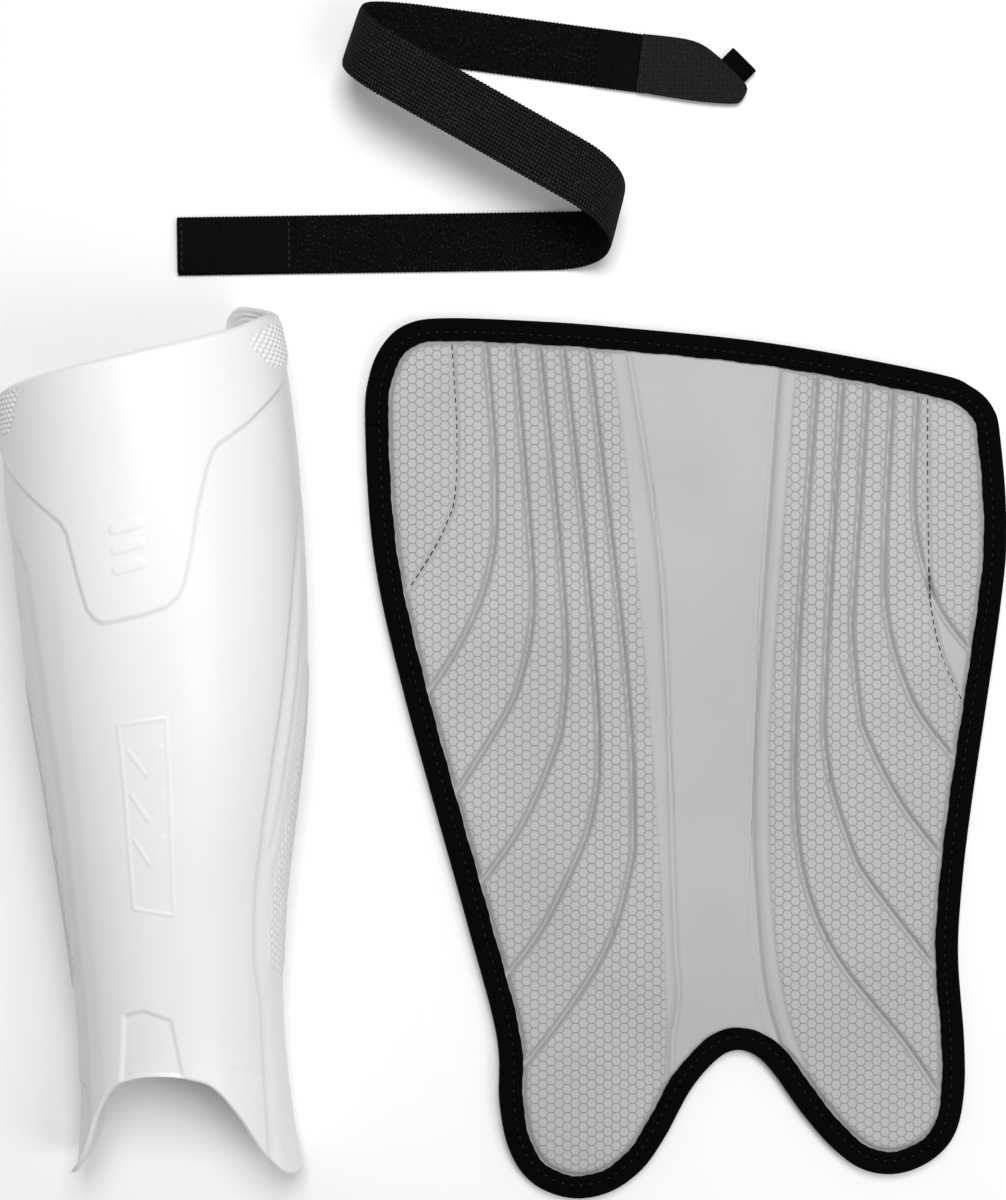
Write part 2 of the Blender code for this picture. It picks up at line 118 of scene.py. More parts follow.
def ring_faces(rings, count):
    """Quads between `rings` rings of `count` points, and the tube's two ends as single faces."""
    first = np.arange(rings - 1)[:, None]
    here = np.arange(count)[None, :]
    beside = (here + 1) % count
    corners = [first * count + here, first * count + beside,
               (first + 1) * count + beside, (first + 1) * count + here]
    quads = np.stack(corners, -1)
    ends = np.array([np.arange(count)[::-1], (rings - 1) * count + np.arange(count)])
    return [quads.reshape(-1, 4), ends]


def smooth_curve(points, steps, closed=False):
    """Points along a smooth curve through the given ones."""
    given = np.array(points, float)
    count = len(given)
    if closed:
        spans = range(count)
        pick = [given[[(i + k) % count for k in (-1, 0, 1, 2)]] for i in spans]
    else:
        spans = range(count - 1)
        pick = [given[np.clip([i - 1, i, i + 1, i + 2], 0, count - 1)] for i in spans]
    t = (np.arange(steps) / steps)[:, None]
    found = [0.5 * (2 * p1 + (p2 - p0) * t + (2 * p0 - 5 * p1 + 4 * p2 - p3) * t ** 2
                    + (3 * p1 - p0 - 3 * p2 + p3) * t ** 3) for p0, p1, p2, p3 in pick]
    found = np.concatenate(found)
    return found if closed else np.vstack([found, given[-1]])


def even_curve(curve, spacing, closed=False):
    """The same curve with its points `spacing` apart, and the distance along it at each."""
    path = np.vstack([curve, curve[:1]]) if closed else curve
    along = np.concatenate([[0], np.cumsum(np.linalg.norm(np.diff(path, axis=0), axis=1))])
    count = max(2, round(along[-1] / spacing))
    at = np.linspace(0, along[-1], count + 1)
    at = at[:-1] if closed else at
    return np.stack([np.interp(at, along, path[:, k]) for k in range(path.shape[1])], -1), at


def distance_to(x, y, line, reach):
    """Distance from each point to a polyline, at most `reach`."""
    found = np.full(x.shape, float(reach))
    for (x0, y0), (x1, y1) in zip(line[:-1], line[1:]):
        near = ((x > min(x0, x1) - reach) & (x < max(x0, x1) + reach)
                & (y > min(y0, y1) - reach) & (y < max(y0, y1) + reach))
        if not near.any():
            continue
        px, py, dx, dy = x[near] - x0, y[near] - y0, x1 - x0, y1 - y0
        t = np.clip((px * dx + py * dy) / (dx * dx + dy * dy + 1e-9), 0, 1)
        found[near] = np.minimum(found[near], np.hypot(px - t * dx, py - t * dy))
    return found


def inside(x, y, outline):
    """True for the points inside a closed outline."""
    found = np.zeros(x.shape, bool)
    for (x0, y0), (x1, y1) in zip(outline, np.roll(outline, -1, axis=0)):
        if y0 == y1:
            continue
        crosses = (y0 > y) != (y1 > y)
        found ^= crosses & (x < x0 + (x1 - x0) * (y - y0) / (y1 - y0))
    return found


def rise(value, width):
    """0 below zero, 1 above width, smooth between."""
    t = np.clip(value / width, 0, 1)
    return t * t * (3 - 2 * t)


def honeycomb(x, y, pitch):
    """0 at the middle of a flat-topped hexagonal cell, 1 on its edge."""
    wide = pitch * 3 ** 0.5

    def cell(shift):
        cx = np.mod(x + shift * wide / 2, wide) - wide / 2
        cy = np.mod(y + shift * pitch / 2, pitch) - pitch / 2
        return np.maximum(abs(cy), abs(cx) * 0.866 + abs(cy) * 0.5) / (pitch / 2)
    return np.minimum(cell(0), cell(1))


# ---------------------------------------------------------------- materials

class Look:
    """A material with one Principled shader, and short calls that add nodes to it."""

    def __init__(self, name, colour, roughness, sheen=0.0, specular=0.5):
        self.material = bpy.data.materials.new(name)
        self.material.use_nodes = True
        self.tree = self.material.node_tree
        self.shader = self.tree.nodes["Principled BSDF"]
        self.colour = colour
        values = {"Base Color": (*colour, 1.0), "Roughness": roughness, "Sheen Weight": sheen,
                  "Specular IOR Level": specular}
        for socket, value in values.items():
            self.shader.inputs[socket].default_value = value

    def feed(self, socket, value):
        """Sets a socket to a value, or links it to another node's output."""
        if isinstance(value, bpy.types.NodeSocket):
            self.tree.links.new(value, socket)
        else:
            socket.default_value = value

    def put(self, node, inputs):
        for socket, value in inputs.items():
            self.feed(node.inputs[socket], value)

    def field(self, name, output="Vector"):
        node = self.tree.nodes.new("ShaderNodeAttribute")
        node.attribute_name = name
        return node.outputs[output]

    def object_place(self):
        """The place on a node of the frame, in millimetres."""
        node = self.tree.nodes.new("ShaderNodeTexCoord")
        return self.vector("MULTIPLY", node.outputs["Object"], (1 / MM, 1 / MM, 1 / MM))

    def vector(self, operation, first, second=(0, 0, 0)):
        node = self.tree.nodes.new("ShaderNodeVectorMath")
        node.operation = operation
        self.put(node, {0: first, 1: second})
        return node.outputs["Vector"]

    def split(self, vector):
        node = self.tree.nodes.new("ShaderNodeSeparateXYZ")
        self.put(node, {0: vector})
        return node.outputs

    def maths(self, operation, first, second=0.0, third=0.0):
        node = self.tree.nodes.new("ShaderNodeMath")
        node.operation = operation
        self.put(node, {0: first, 1: second, 2: third})
        return node.outputs[0]

    def range(self, value, low, high, to_low=0.0, to_high=1.0):
        node = self.tree.nodes.new("ShaderNodeMapRange")
        node.interpolation_type = "SMOOTHSTEP"
        self.put(node, {0: value, 1: low, 2: high, 3: to_low, 4: to_high})
        return node.outputs[0]

    def noise(self, place, size, detail=2.0):
        """Soft random pattern with features of about `size` mm."""
        node = self.tree.nodes.new("ShaderNodeTexNoise")
        self.put(node, {"Vector": place, "Scale": 1 / size, "Detail": detail})
        return node.outputs[0]

    def wave(self, value, pitch):
        """0 to 1 and back over each pitch."""
        turned = self.maths("SINE", self.maths("MULTIPLY", value, 2 * pi / pitch))
        return self.maths("MULTIPLY_ADD", turned, 0.5, 0.5)

    def honeycomb(self, place, pitch):
        """0 at the middle of a flat-topped hexagonal cell, 1 on its edge."""
        wide, far = pitch * 3 ** 0.5, 400

        def cell(shift):
            moved = self.vector("ADD", place, ((far + shift / 2) * wide, (far + shift / 2) * pitch, 0))
            wrapped = self.vector("MODULO", moved, (wide, pitch, 1))
            centred = self.vector("ABSOLUTE", self.vector("SUBTRACT", wrapped, (wide / 2, pitch / 2, 0)))
            x, y, _ = self.split(centred)
            slanted = self.maths("MULTIPLY_ADD", x, 0.866, self.maths("MULTIPLY", y, 0.5))
            return self.maths("DIVIDE", self.maths("MAXIMUM", y, slanted), pitch / 2)
        return self.maths("MINIMUM", cell(0), cell(1))

    def tint(self, amount, other):
        """Mixes the colour towards another one by `amount`, which varies over the surface."""
        node = self.tree.nodes.new("ShaderNodeMix")
        node.data_type = "RGBA"
        before = self.shader.inputs["Base Color"]
        base = before.links[0].from_socket if before.links else (*self.colour, 1.0)
        self.put(node, {0: amount})
        colours = [socket for socket in node.inputs if socket.type == "RGBA"]
        for socket, value in zip(colours, (base, (*other, 1.0))):
            self.feed(socket, value)
        shown = [socket for socket in node.outputs if socket.type == "RGBA"][0]
        self.tree.links.new(shown, before)

    def rough(self, value, low, high):
        self.put(self.shader, {"Roughness": self.range(value, 0.0, 1.0, low, high)})

    def bump(self, height, depth):
        """Relief of that depth in mm; a second one lies on the first."""
        node = self.tree.nodes.new("ShaderNodeBump")
        self.put(node, {"Height": height, "Distance": depth * MM, "Strength": 1.0})
        before = self.shader.inputs["Normal"]
        if before.links:
            self.tree.links.new(before.links[0].from_socket, node.inputs["Normal"])
        self.tree.links.new(node.outputs[0], before)


def shell_look():
    look = Look("shell_plastic", (0.78, 0.78, 0.78), 0.38, specular=0.4)
    place = look.field("rest")
    look.rough(look.noise(place, 14.0, 4.0), 0.32, 0.46)
    look.tint(look.range(look.noise(place, 40.0), 0.35, 0.7, 0.0, 0.5), (0.755, 0.76, 0.765))
    look.bump(look.noise(place, 0.7, 3.0), 0.012)
    return look.material


def foam_look():
    look = Look("grey_foam", (0.455, 0.455, 0.455), 0.62, sheen=0.05, specular=0.3)
    place = look.field("rest")
    edge = look.range(look.honeycomb(place, 3.2), 0.88, 0.97)
    cells = look.maths("MULTIPLY", edge, look.field("cells", "Fac"))
    # Random patches where the painted shade on the cells' edges is stronger or weaker.
    patchy_cell_shade = look.range(look.noise(place, 1.6), 0.35, 0.62, 0.25, 1.0)
    look.tint(look.range(look.noise(place, 55.0), 0.3, 0.75), (0.42, 0.42, 0.425))
    # Painted shade: the cells' recessed edges are darkened.
    look.tint(look.maths("MULTIPLY", look.maths("MULTIPLY", cells, patchy_cell_shade), 0.08), (0.20, 0.20, 0.205))
    look.tint(look.range(look.noise(place, 0.5, 3.0), 0.45, 0.8, 0.0, 0.18), (0.25, 0.25, 0.25))
    look.bump(look.noise(place, 0.45, 3.0), 0.05)
    look.bump(look.maths("SUBTRACT", 1.0, cells), 0.3)
    return look.material


def tape_look():
    look = Look("binding_tape", (0.0012, 0.0012, 0.0013), 0.9, specular=0.04)
    along, across, _ = look.split(look.field("weave"))
    place = look.field("rest")
    look.tint(look.range(look.noise(place, 0.6, 3.0), 0.5, 0.85, 0.0, 0.3), (0.005, 0.005, 0.005))
    look.rough(look.noise(place, 5.0), 0.78, 0.92)
    look.bump(look.wave(across, 0.9), 0.05)
    look.bump(look.wave(along, 1.3), 0.13)
    return look.material


def elastic_look():
    """Woven ribs on one face, a brushed pile on the other: the third part of `weave` tells which."""
    look = Look("elastic_webbing", (0.0015, 0.0015, 0.0015), 0.85, specular=0.06)
    along, across, face = look.split(look.field("weave"))
    place = look.field("rest")
    woven = look.range(face, 0.1, -0.1)
    pile = look.noise(place, 0.8, 4.0)
    # Painted highlight: the pile's raised tufts, where its bump stands highest, are lightened.
    look.tint(look.range(pile, 0.56, 0.7, 0.0, 0.45), (0.04, 0.04, 0.041))
    knit = look.maths("MULTIPLY", look.wave(along, 1.1), look.wave(across, 1.25))
    # Painted highlight on the woven face: lighter where the ribs and the picks both stand highest.
    look.tint(look.maths("MULTIPLY", knit, look.maths("MULTIPLY", woven, 0.7)), (0.035, 0.035, 0.035))
    look.bump(look.maths("MULTIPLY", look.wave(along, 1.1), woven), 0.14)
    look.bump(look.maths("MULTIPLY", look.wave(across, 1.25), woven), 0.14)
    look.bump(pile, 0.12)
    return look.material


def fastener_look(name, colour, pitch, pile, from_frame):
    """Hook or loop tape: rows of small bumps under a random pile."""
    look = Look(name, colour, 0.92, specular=0.06)
    place = look.object_place() if from_frame else look.field("rest")
    x, y, _ = look.split(place)
    knots = look.maths("MULTIPLY", look.wave(x, pitch), look.wave(y, pitch))
    lighter = tuple(3.2 * value for value in colour)
    look.tint(look.range(look.noise(place, 0.7, 4.0), 0.5, 0.75, 0.0, 0.6), lighter)
    # Painted highlight: the tops of the rows of small bumps are lightened.
    look.tint(look.maths("MULTIPLY", knots, 0.35), lighter)
    look.bump(look.noise(place, 0.4, 4.0), pile)
    look.bump(knots, 0.3)
    return look.material


def thread_look():
    look = Look("stitching_thread", (0.016, 0.016, 0.016), 0.7, specular=0.2)
    look.bump(look.noise(look.field("rest"), 0.25), 0.03)
    return look.material


def floor_look():
    look = Look("floor", (0.93, 0.93, 0.93), 0.8, specular=0.1)
    place = look.object_place()
    look.tint(look.range(look.noise(place, 300.0), 0.3, 0.8, 0.0, 0.3), (0.925, 0.925, 0.93))
    return look.material


# ---------------------------------------------------------------- shell

SHELL_WALL = 2.6
SHELL_RADII = [(-196, 39.6), (-178, 36.6), (-148, 34.7), (-126, 35.1), (-100, 37.2), (-66, 41.5),
               (-36, 45.2), (-6, 47.1), (22, 47.5), (50, 47.0), (76, 45.6), (100, 43.2)]
SHELL_AXIS_X = [(-196, -110.6), (-148, -112.7), (-100, -114.6), (-50, -114.9), (13, -117.4),
                (66, -120.4), (100, -123.6)]
SHELL_AXIS_LOW, SHELL_AXIS_RISE = 16.5, 21.3  # the axis' height at y -190, and its rise over 280 mm
TOP_RIM = [(-1.0, 57.0), (-0.72, 63.5), (-0.48, 65.6), (-0.23, 68.6), (0.03, 74.1), (0.32, 83.0),
           (0.5, 90.0), (0.72, 95.6), (0.88, 99.4), (1.0, 100.5)]
TOE_RIM = [(-1.0, -189.0), (-0.76, -190.5), (-0.58, -186.5), (-0.46, -178.5), (-0.35, -165.0),
           (-0.24, -155.4), (-0.12, -151.2), (0.0, -150.3), (0.11, -151.4), (0.22, -155.0),
           (0.34, -165.8), (0.46, -179.0), (0.6, -188.0), (0.78, -190.5), (1.0, -189.0)]
SHELL_CORNER = 13.0  # rounding of the wings' corners
SHELL_FOOT = 0.5  # height at which the wings' edges end
HALF_GIRTH = 105.0  # from the crown to a wing's edge along the wall
COLUMN_SPACING = (0.82, 0.18)  # shares of even spacing and of crowding towards the wings' edges
SHELL_COLUMNS, SHELL_ROWS = 480, 600
RIM_ROUND = 1.1

# Relief of the shell. A place is (share of the half wrap, y), from -1 at the left edge to 1 at the right.
PANEL_STEP = [(-0.8, 66), (-0.6, 52), (-0.44, 41), (-0.36, 35.5), (-0.2, 23.5), (-0.18, 20), (-0.155, 6),
              (-0.135, -3), (-0.113, -6), (-0.088, -7.2), (0.02, -4.8), (0.09, -2.4), (0.128, 1),
              (0.145, 5), (0.166, 13.5), (0.19, 27), (0.22, 39), (0.242, 45), (0.262, 47.5),
              (0.37, 55.5), (0.41, 59), (0.49, 65), (0.55, 69), (0.62, 76), (0.75, 92)]
LEFT_RIDGE = [(-0.6, 32), (-0.45, 22), (-0.38, 15.5), (-0.345, 9), (-0.33, -15), (-0.32, -50),
              (-0.318, -83), (-0.33, -101), (-0.34, -119), (-0.36, -150)]
LEFT_FACET = [(-0.216, 15), (-0.226, -18), (-0.25, -118)]
RIGHT_RIDGE = [(0.78, 50), (0.707, 40.7), (0.59, 27), (0.543, 9.5), (0.507, -9.5), (0.474, -30), (0.44, -50),
               (0.415, -71), (0.402, -93), (0.41, -115), (0.45, -130)]
RIGHT_CREASE = [(0.7, 12), (0.602, -20), (0.537, -55), (0.5, -80)]
RIGHT_FIELD = [(0.633, -42), (0.606, -55), (0.576, -70), (0.521, -88), (0.5, -107), (0.508, -118),
               (0.628, -126), (0.92, -120), (0.92, -20), (0.7, -20)]
LEFT_FIELD = [(-0.5, -28), (-0.44, -118), (-0.55, -128), (-0.92, -120), (-0.92, -20), (-0.7, -20)]
RIGHT_KNURL = [(0.393, 82), (0.5, 87.5), (0.6, 91), (0.75, 92), (0.7, 82), (0.6, 76), (0.5, 73), (0.45, 73.5),
               (0.42, 76), (0.39, 78)]
LEFT_KNURL = [(-0.32, 65), (-0.33, 61), (-0.35, 57), (-0.38, 52), (-0.41, 50.5), (-0.48, 52), (-0.6, 50),
              (-0.66, 62.5), (-0.45, 64.3)]
ANKLE_RECESS = [(-0.155, -130), (-0.06, -128), (0.063, -131.3), (0.12, -160), (-0.21, -160)]
TOE_FACET = [(-0.46, -157), (-0.39, -165), (-0.46, -185), (-0.6, -195), (-0.85, -195), (-0.85, -156)]
FAINT_LINES = [[(0.503, -131), (0.54, -138)], [(0.428, -137.5), (0.485, -142)],
               [(0.32, -149.7), (0.5, -154.7)]]
# Plain raised marks where a maker would put a name: three bars, and a long frame with chevrons.
BARS = [[(-0.035, y), (0.028, y + 2.0)] for y in (9.0, 15.0, 21.0)]
FRAME = [(-0.07, -38), (0.075, -36), (0.085, -98), (-0.062, -96), (-0.07, -38)]
CHEVRONS = [[(-0.045, y), (0.008, y - 8), (0.055, y + 1)] for y in (-46.0, -60.0, -74.0)]


def smooth_value(points, at):
    """Values on a smooth curve through (position, value) points."""
    place, value = np.array(points, float).T
    at = np.clip(at, place[0], place[-1])
    slope = np.empty_like(value)
    slope[1:-1] = (value[2:] - value[:-2]) / (place[2:] - place[:-2])
    slope[0] = (value[1] - value[0]) / (place[1] - place[0])
    slope[-1] = (value[-1] - value[-2]) / (place[-1] - place[-2])
    i = np.clip(np.searchsorted(place, at, side="right") - 1, 0, len(place) - 2)
    span = place[i + 1] - place[i]
    t = (at - place[i]) / span
    return ((1 + 2 * t) * (1 - t) ** 2 * value[i] + t * (1 - t) ** 2 * span * slope[i]
            + t * t * (3 - 2 * t) * value[i + 1] + t * t * (t - 1) * span * slope[i + 1])


def shell_section(y):
    """The wall's radius, its axis' x and height, and its half wrap, at each y."""
    radius, middle = smooth_value(SHELL_RADII, y), smooth_value(SHELL_AXIS_X, y)
    height = SHELL_AXIS_LOW + SHELL_AXIS_RISE * (y + 190) / 280
    return radius, middle, height, np.arccos(-(height - SHELL_FOOT) / radius)


def on_wall(places):
    """Places given as (share, y), as (distance round the wall from the crown, y) in mm."""
    share, y = np.array(places, float).T
    radius, _, _, half_wrap = shell_section(y)
    return np.stack([share * half_wrap * radius, y], -1)


def shell_relief(s, y):
    """Height of the outer face's relief, in mm, at distance s round the wall."""
    def near(places, reach):
        return distance_to(s, y, on_wall(places), reach)

    def beyond(places, sign):
        """Distance past a line that runs down the shell, to the left or the right of it."""
        line = on_wall(places)[::-1]
        at = np.interp(y, line[:, 1], line[:, 0])
        return sign * (s - at)

    def field(places, fade):
        outline = on_wall(places)
        closed = np.vstack([outline, outline[:1]])
        return inside(s, y, outline) * rise(distance_to(s, y, closed, fade + 1), fade)

    step = on_wall(PANEL_STEP)
    order = np.argsort(step[:, 0])
    upper = np.where(y > np.interp(s, step[order, 0], step[order, 1]), 1, -1)
    relief = 0.9 * rise(upper * near(PANEL_STEP, 4) + 1.0, 2.0)
    left = beyond(LEFT_RIDGE, -1)
    relief -= 1.3 * rise(left, 8) * rise(30 - y, 12)
    relief -= 0.25 * rise(beyond(LEFT_FACET, -1), 6) * rise(18 - y, 25)
    right = beyond(RIGHT_RIDGE, 1)
    below = rise(46 - y, 14)
    relief -= 0.9 * rise(right, 3.2) * rise(9.5 - right, 6) * below
    relief -= 0.35 * rise(2.5 - near(RIGHT_CREASE, 3), 2.5)
    honey = rise(honeycomb(s, y, 2.5) - 0.5, 0.45)
    relief += 0.5 * honey * (field(RIGHT_FIELD, 2.5) + field(LEFT_FIELD, 2.5))
    studs = abs(np.sin(pi * (s + y) / 3.0) * np.sin(pi * (s - y) / 3.0))
    relief += (1.0 * studs - 0.45) * (field(RIGHT_KNURL, 0.8) + field(LEFT_KNURL, 0.8))
    relief -= 0.8 * field(ANKLE_RECESS, 1.8)
    relief -= 0.5 * field(TOE_FACET, 1.4)
    for line in FAINT_LINES:
        relief -= 0.16 * rise(1.4 - near(line, 2), 1.4)
    for line in BARS:
        relief += 0.3 * rise(1.9 - near(line, 3), 0.9)
    for line in [FRAME] + CHEVRONS:
        relief += 0.24 * rise(0.9 - near(line, 2), 0.8)
    return relief


def rim_rounding(edge):
    """How far a wall's face falls back at a distance from its rim."""
    short = RIM_ROUND - np.clip(edge, 0, RIM_ROUND)
    return RIM_ROUND - np.sqrt(RIM_ROUND ** 2 - short ** 2)


def shell_grid():
    """Shares and y of the grid, whose columns run from the toe's rim to the top rim."""
    t = np.linspace(-1, 1, SHELL_COLUMNS + 1)
    even, crowded = COLUMN_SPACING
    share = even * t + crowded * np.sin(t * pi / 2)
    near_edge = np.minimum((1 - abs(share)) * HALF_GIRTH, SHELL_CORNER)
    drop = SHELL_CORNER - np.sqrt(SHELL_CORNER ** 2 - (SHELL_CORNER - near_edge) ** 2)
    top, toe = smooth_value(TOP_RIM, share) - drop, smooth_value(TOE_RIM, share) + drop
    rows = np.linspace(0, 1, SHELL_ROWS + 1)
    y = toe[:, None] + (top - toe)[:, None] * rows[None, :]
    return np.repeat(share[:, None], len(rows), 1), y, top[:, None], toe[:, None]


def build_shell(look):
    share, y, top, toe = shell_grid()
    radius, middle, height, half_wrap = shell_section(y)
    s = share * half_wrap * radius
    edge = np.minimum(np.minimum(top - y, y - toe), (1 - abs(share)) * HALF_GIRTH)
    ear = rise(share - 0.5, 0.12) * rise(14 - (top - y), 4)
    ribs = 0.28 * np.sin((top - y) * 2 * pi / 1.7) * ear
    outer = radius + shell_relief(s, y) * rise(edge - 0.3, 1.2) - rim_rounding(edge)
    inner = radius - SHELL_WALL + rim_rounding(edge) + ribs * rise(edge - 0.8, 1.0)
    walls = [np.stack([middle + r * np.sin(share * half_wrap), y, height + r * np.cos(share * half_wrap)], -1)
             for r in (outer, inner)]
    points = np.concatenate([wall.reshape(-1, 3) for wall in walls])
    points[:, 2] = np.maximum(points[:, 2], 0.05)
    columns, rows = SHELL_COLUMNS + 1, SHELL_ROWS + 1
    index = np.arange(columns * rows).reshape(columns, rows)
    quads = np.stack([index[:-1, :-1], index[1:, :-1], index[1:, 1:], index[:-1, 1:]], -1).reshape(-1, 4)
    under = columns * rows
    borders = [index[:, 0], index[-1, :], index[::-1, -1], index[0, ::-1]]
    walls = [np.stack([line[1:], line[:-1], line[:-1] + under, line[1:] + under], -1) for line in borders]
    faces = np.concatenate([quads, quads[:, ::-1] + under] + walls)
    made = mesh_object("shell_moulding", points, [faces], [look])
    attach(made, "shell")
    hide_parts("shell")


# ---------------------------------------------------------------- liner

LINER_OUTLINE = [
    (-52.5, 60), (-51, 77), (-46, 88), (-38, 94.5), (-25, 96.5), (5, 95.5), (33, 93.5), (86, 88),
    (141, 78), (155, 73), (162.5, 65.5), (165, 54.5), (167, 25.5), (165, -1.5), (155, -70),
    (151.5, -100.5), (150.5, -122.5), (152.5, -150), (152.5, -168), (149.5, -182), (142, -191),
    (130.5, -196), (118.5, -195), (108, -188), (97, -175.5), (87, -161.5), (80.5, -155.5),
    (74, -154), (67.5, -157.5), (59, -167.5), (50, -184), (42, -195), (31, -202.5), (18, -204.5),
    (5, -199.5), (-3, -188.5), (-6.5, -172), (-7.5, -149), (-18, -109), (-39.5, -31), (-49.5, 15.5)]
# Fold lines: x at y FOLD_TOP_Y, and x at FOLD_DROP below it.
FOLDS = {"left_outer": (2.2, 24.9), "left_inner": (33.5, 54.0), "right_inner": (94.4, 83.6),
         "right_outer": (123.5, 123.5)}
FOLD_TOP_Y, FOLD_DROP = 100.0, 310.0
FOAM_BACK, FOAM_UNDER_TAPE = 1.25, 5.45
GROOVE_FLOOR, PILLOW_TOP, BORDER_TOP, CHANNEL_FLOOR = 5.1, 8.05, 7.2, 5.45
FOAM_STEP = 0.42
FOAM_HIDDEN = 3.2  # the foam's own edge lies this far inside the binding's outer edge
# The folded tape: its thickness, how far in it reaches and its top; its seam's distance in and pitch.
TAPE, TAPE_LIP, TAPE_TOP = 0.9, 8.2, 6.65
SEAM_DEPTH, SEAM_PITCH = 5.1, 3.2

# Moulded grooves of the two wings, from the knee end down.
LEFT_GROOVES = [
    [(-11.5, 90), (-8.5, 53), (-8, 34), (-8.5, 19), (-12, 3), (-20, -15), (-31, -32)],
    [(-2, 90), (4, 19), (4.5, -6), (1, -25), (-4.5, -39), (-22, -67)],
    [(6.5, 90), (11.5, 43), (16, -12), (15, -39), (12, -52), (1.5, -76), (-13, -97)],
    [(14.5, 90), (21, 32), (26, -26), (27, -56), (25.5, -70), (21.5, -84), (8.5, -111), (-4, -128)],
    [(23, 90), (33.5, 3), (38, -44), (39, -78), (38, -91), (31, -116), (18, -138), (1, -160)]]
RIGHT_GROOVES = [
    [(102, 82), (96.5, 9), (94.5, -31), (94, -70), (98, -98), (109, -123), (131.5, -151), (145, -171)],
    [(110.5, 80), (104.5, -22), (105, -56), (113, -84), (120, -97), (144, -128)],
    [(119, 78), (114, 2), (113.5, -12), (116, -37), (119, -48), (130.5, -70), (147, -91)],
    [(127.5, 76), (124.5, 15), (126, -10), (132.5, -31), (140, -44), (152, -58)],
    [(136, 74), (134.5, 43), (135.5, 22), (141, 2), (147, -9), (157, -21)]]
CHANNEL_WALLS = [
    [(35, 90), (45, 26), (48.5, -15), (51.5, -109), (53, -135), (51, -150), (50.5, -172)],
    [(91.5, 86), (89, 60), (83, -31), (81.5, -74), (82.5, -100), (86, -135), (95, -163)]]
CELL_EDGES = [
    [(31.5, 90), (37.5, 46), (46.5, -52), (51, -135), (50.5, -165)],
    [(95, 84), (92, 57), (85.5, -31), (84.5, -56), (85.5, -104), (90.5, -139), (98, -160)]]
PATCH_SEAMS = [
    [(-23, 92), (-21, 60), (-21.5, 36), (-24.5, 26), (-29.5, 16), (-41, -2), (-46, -10)],
    [(139.5, 72), (139.5, 36), (140, 9), (141, -5), (145, -21), (153.5, -39), (156.5, -45)]]
# The cell pattern leaves out this wedge outside the right corner seam.
SMOOTH_WEDGE = [(141.5, 0), (147.5, -9.5), (158, -21), (158, -44), (153.5, -39), (145, -21), (141, -5)]


def fold_x(fold, y):
    """The fold line's x at y."""
    x_top, x_low = FOLDS[fold]
    return x_top + (x_low - x_top) * (FOLD_TOP_Y - y) / FOLD_DROP


SEAM_IN_CHANNEL = 8.5  # the centre zone's borders lie this far inside the inner fold lines


def zone_of(x, y):
    """Which of the five lengthwise zones a place is in: 0 at the left, 4 at the right."""
    left_outer, left_inner = fold_x("left_outer", y), fold_x("left_inner", y)
    right_inner, right_outer = fold_x("right_inner", y), fold_x("right_outer", y)
    seams = [(left_outer + left_inner) / 2, left_inner + SEAM_IN_CHANNEL,
             right_inner - SEAM_IN_CHANNEL, (right_inner + right_outer) / 2]
    return sum((x > seam).astype(int) for seam in seams)


# Zone: its body, and the neighbouring body and the fold line it crosses, if it crosses one.
ZONES = [("liner_left_outer", "liner_left_inner", "left_outer"),
         ("liner_left_inner", "liner_centre", "left_inner"),
         ("liner_centre", None, None),
         ("liner_right_inner", "liner_centre", "right_inner"),
         ("liner_right_outer", "liner_right_inner", "right_outer")]


def hold_in_zone(piece, zone):
    """The piece rides on its zone's body; a piece of a zone that crosses a fold only has its place baked into
    its mesh.
    """
    body, inner_body, fold = ZONES[zone]
    if fold is None:
        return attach(piece, body)
    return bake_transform(piece)


